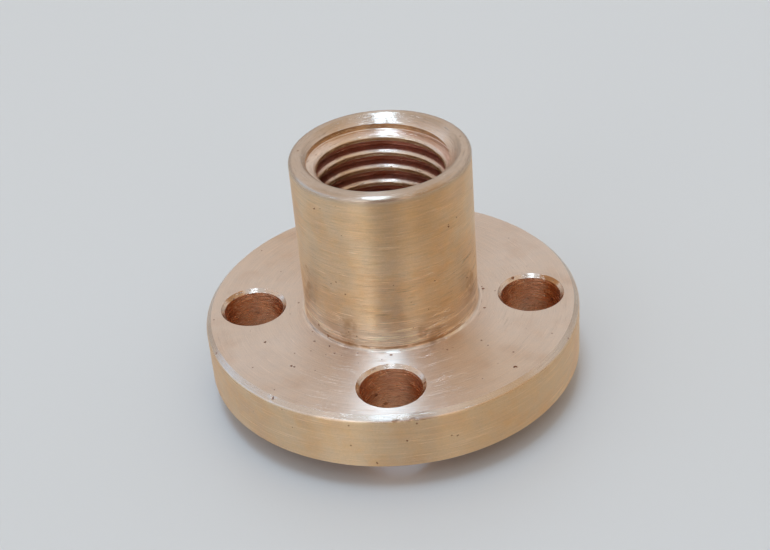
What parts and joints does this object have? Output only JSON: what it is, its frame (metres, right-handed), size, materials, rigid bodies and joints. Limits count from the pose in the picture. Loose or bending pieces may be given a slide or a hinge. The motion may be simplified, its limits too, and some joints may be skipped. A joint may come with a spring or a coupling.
{
  "type": "flanged lead screw nut",
  "caption": "One-piece bronze lead-screw nut: round flange with a ring of bolt holes, a long and a short boss, and an internal trapezoidal thread.",
  "frame": {"origin": "centre of the short boss's end face, on the thread axis", "axes": "+Z along the thread axis towards the long boss; the bolt holes lie on +X, +Y, -X and -Y"},
  "size_m": [0.022, 0.022, 0.015],
  "materials": {
    "bronze": "turned bronze with a satin machined surface, fine tool marks and lightly worn edges"
  },
  "bodies": {
    "root": {"flanged_nut": "bronze"}
  },
  "joints": []
}
